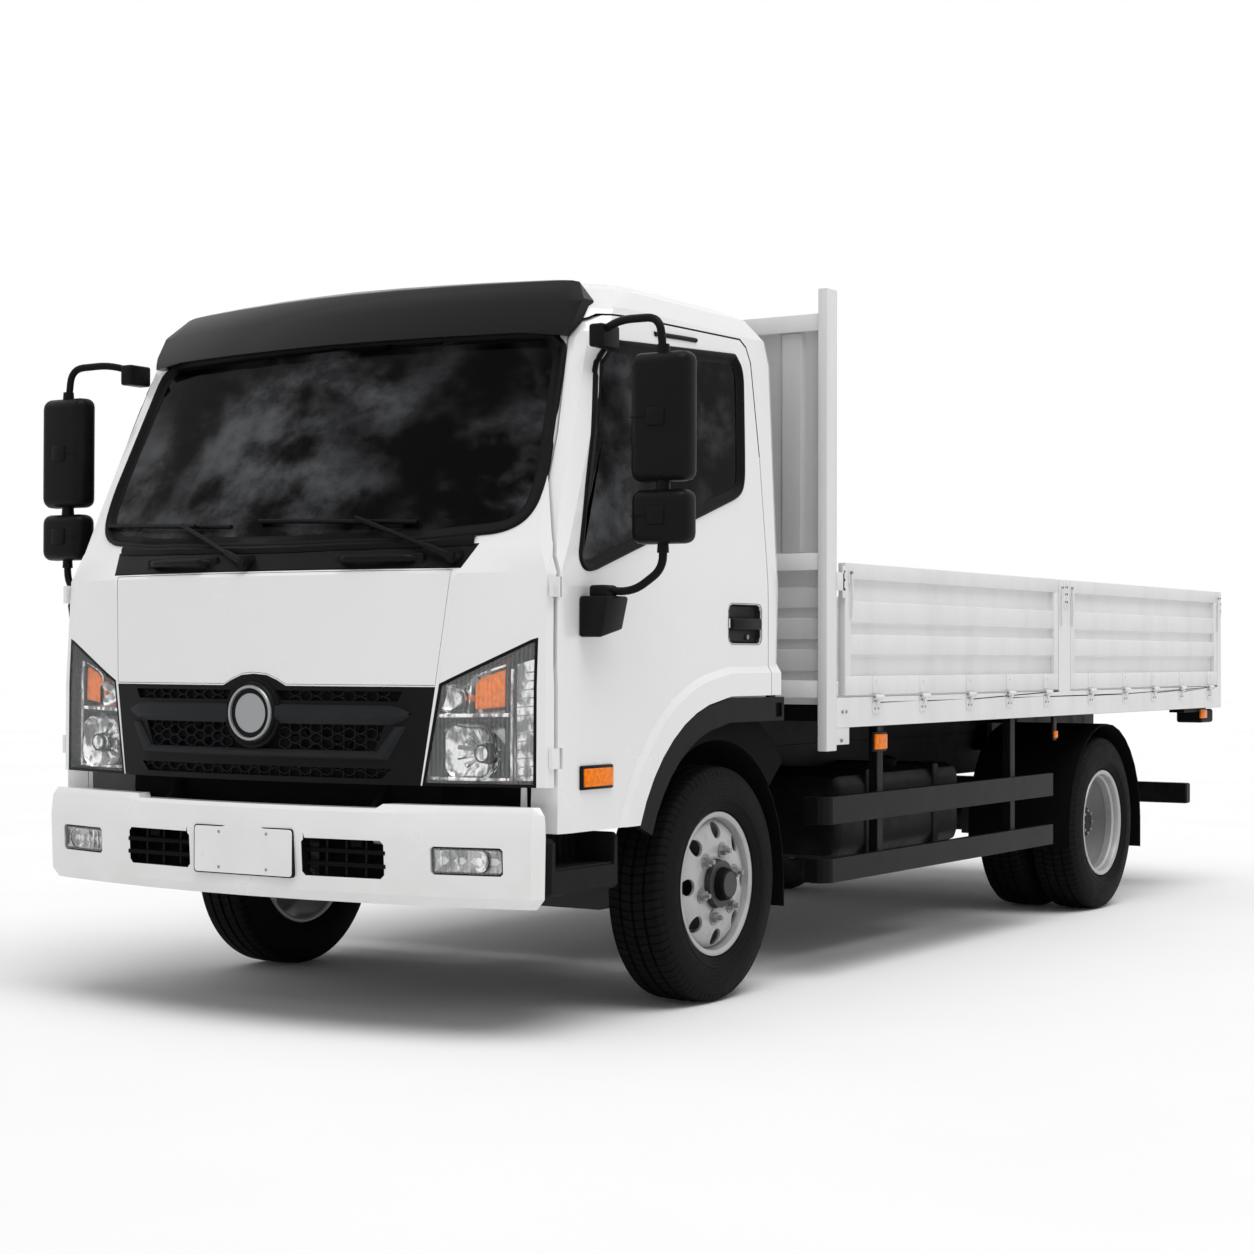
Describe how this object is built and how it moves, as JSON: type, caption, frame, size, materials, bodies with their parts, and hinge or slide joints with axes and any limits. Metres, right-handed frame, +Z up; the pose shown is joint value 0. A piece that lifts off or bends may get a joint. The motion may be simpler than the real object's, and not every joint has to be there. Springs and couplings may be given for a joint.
{
  "type": "flatbed truck",
  "caption": "Light flatbed truck with a tilting cab, hinged doors, steered front wheels, a high headboard and ribbed drop sides that fold down.",
  "frame": {"origin": "middle of the truck's length and width, on the ground", "axes": "+Z up, the nose points to -Y, +X is the truck's left side"},
  "size_m": [2.636, 6.1599, 2.41],
  "materials": {
    "white_paint": "gloss",
    "bed_paint": "satin",
    "black_plastic": "matte",
    "gloss_black": "gloss",
    "chassis_black": "satin",
    "cast_iron": "rough",
    "dark_metal": "satin",
    "silver": "satin silver",
    "rubber": "matte",
    "tinted_glass": "gloss",
    "clear_plastic": "clear",
    "dark_trim": "matte"
  },
  "bodies": {
    "chassis": {"chassis_frame": "chassis_black", "engine_block": "cast_iron", "propshaft": "cast_iron", "radiator": "dark_metal", "front_axle": "cast_iron", "rear_axle": "cast_iron", "fuel_tank": "chassis_black", "battery_box": "black_plastic", "exhaust": "dark_metal", "side_guard_left": "black_plastic", "side_guard_right": "black_plastic", "bumper": "white_paint", "step_left": "black_plastic", "step_right": "black_plastic", "front_mudguard_left": "black_plastic", "front_mudguard_right": "black_plastic", "rear_mudguard_left": "black_plastic", "rear_mudguard_right": "black_plastic", "underrun_bar": "chassis_black", "tail_lamp_left": "black_plastic", "tail_lamp_right": "black_plastic", "load_deck": "bed_paint", "headboard": "bed_paint"},
    "cab": {"cab_shell": "white_paint", "windscreen": "tinted_glass", "rear_window": "tinted_glass", "front_lid": "white_paint", "cowl_panel": "black_plastic", "grille": "black_plastic", "headlamp_left": "clear_plastic", "headlamp_right": "clear_plastic", "sun_visor": "gloss_black", "arch_trim_left": "black_plastic", "arch_trim_right": "black_plastic", "dashboard": "dark_trim", "steering_wheel": "dark_trim", "seats": "dark_trim"},
    "left_door": {"door_left": "white_paint", "door_glass_left": "tinted_glass", "mirror_left": "black_plastic"},
    "right_door": {"door_right": "white_paint", "door_glass_right": "tinted_glass", "mirror_right": "black_plastic"},
    "left_front_board": {"side_board_front_left": "bed_paint"},
    "right_front_board": {"side_board_front_right": "bed_paint"},
    "left_rear_board": {"side_board_rear_left": "bed_paint"},
    "right_rear_board": {"side_board_rear_right": "bed_paint"},
    "tail_board": {"tailboard": "bed_paint"},
    "left_knuckle": {"knuckle_left": "cast_iron"},
    "right_knuckle": {"knuckle_right": "cast_iron"},
    "left_front_wheel": {"front_wheel_left": "silver", "front_tyre_left": "rubber"},
    "right_front_wheel": {"front_wheel_right": "silver", "front_tyre_right": "rubber"},
    "left_rear_wheels": {"rear_wheel_left": "silver", "rear_outer_tyre_left": "rubber", "rear_inner_tyre_left": "rubber"},
    "right_rear_wheels": {"rear_wheel_right": "silver", "rear_outer_tyre_right": "rubber", "rear_inner_tyre_right": "rubber"}
  },
  "joints": [
    {"name": "cab_tilt", "type": "hinge", "parent": "chassis", "child": "cab", "pos_m": [0, -2.97, 0.6], "axis": [1, 0, 0], "range_deg": [0, 45]},
    {"name": "door_left_hinge", "type": "hinge", "parent": "cab", "child": "left_door", "pos_m": [0.984, -2.826, 1], "axis": [0, 0, -1], "range_deg": [0, 70]},
    {"name": "door_right_hinge", "type": "hinge", "parent": "cab", "child": "right_door", "pos_m": [-0.984, -2.826, 1], "axis": [0, 0, 1], "range_deg": [0, 70]},
    {"name": "front_board_left_hinge", "type": "hinge", "parent": "chassis", "child": "left_front_board", "pos_m": [1.0715, -1.125, 0.983], "axis": [0, 1, 0], "range_deg": [0, 180]},
    {"name": "front_board_right_hinge", "type": "hinge", "parent": "chassis", "child": "right_front_board", "pos_m": [-1.0715, -1.125, 0.983], "axis": [0, -1, 0], "range_deg": [0, 180]},
    {"name": "rear_board_left_hinge", "type": "hinge", "parent": "chassis", "child": "left_rear_board", "pos_m": [1.0715, 1.01, 0.983], "axis": [0, 1, 0], "range_deg": [0, 180]},
    {"name": "rear_board_right_hinge", "type": "hinge", "parent": "chassis", "child": "right_rear_board", "pos_m": [-1.0715, 1.01, 0.983], "axis": [0, -1, 0], "range_deg": [0, 180]},
    {"name": "tailboard_hinge", "type": "hinge", "parent": "chassis", "child": "tail_board", "pos_m": [0, 3.071, 0.983], "axis": [-1, 0, 0], "range_deg": [0, 180]},
    {"name": "steer_left", "type": "hinge", "parent": "chassis", "child": "left_knuckle", "pos_m": [0.75, -1.85, 0.38556], "axis": [0, 0, 1], "range_deg": [-35, 35]},
    {"name": "steer_right", "type": "hinge", "parent": "chassis", "child": "right_knuckle", "pos_m": [-0.75, -1.85, 0.38556], "axis": [0, 0, 1], "range_deg": [-35, 35]},
    {"name": "front_wheel_left_spin", "type": "hinge", "parent": "left_knuckle", "child": "left_front_wheel", "pos_m": [0.87, -1.85, 0.38556], "axis": [1, 0, 0], "continuous": true},
    {"name": "front_wheel_right_spin", "type": "hinge", "parent": "right_knuckle", "child": "right_front_wheel", "pos_m": [-0.87, -1.85, 0.38556], "axis": [1, 0, 0], "continuous": true},
    {"name": "rear_wheels_left_spin", "type": "hinge", "parent": "chassis", "child": "left_rear_wheels", "pos_m": [0.78, 1.55, 0.38556], "axis": [1, 0, 0], "continuous": true},
    {"name": "rear_wheels_right_spin", "type": "hinge", "parent": "chassis", "child": "right_rear_wheels", "pos_m": [-0.78, 1.55, 0.38556], "axis": [1, 0, 0], "continuous": true}
  ],
  "couplings": [
    {"joint": "steer_right", "follows": "steer_left", "ratio": 1}
  ]
}
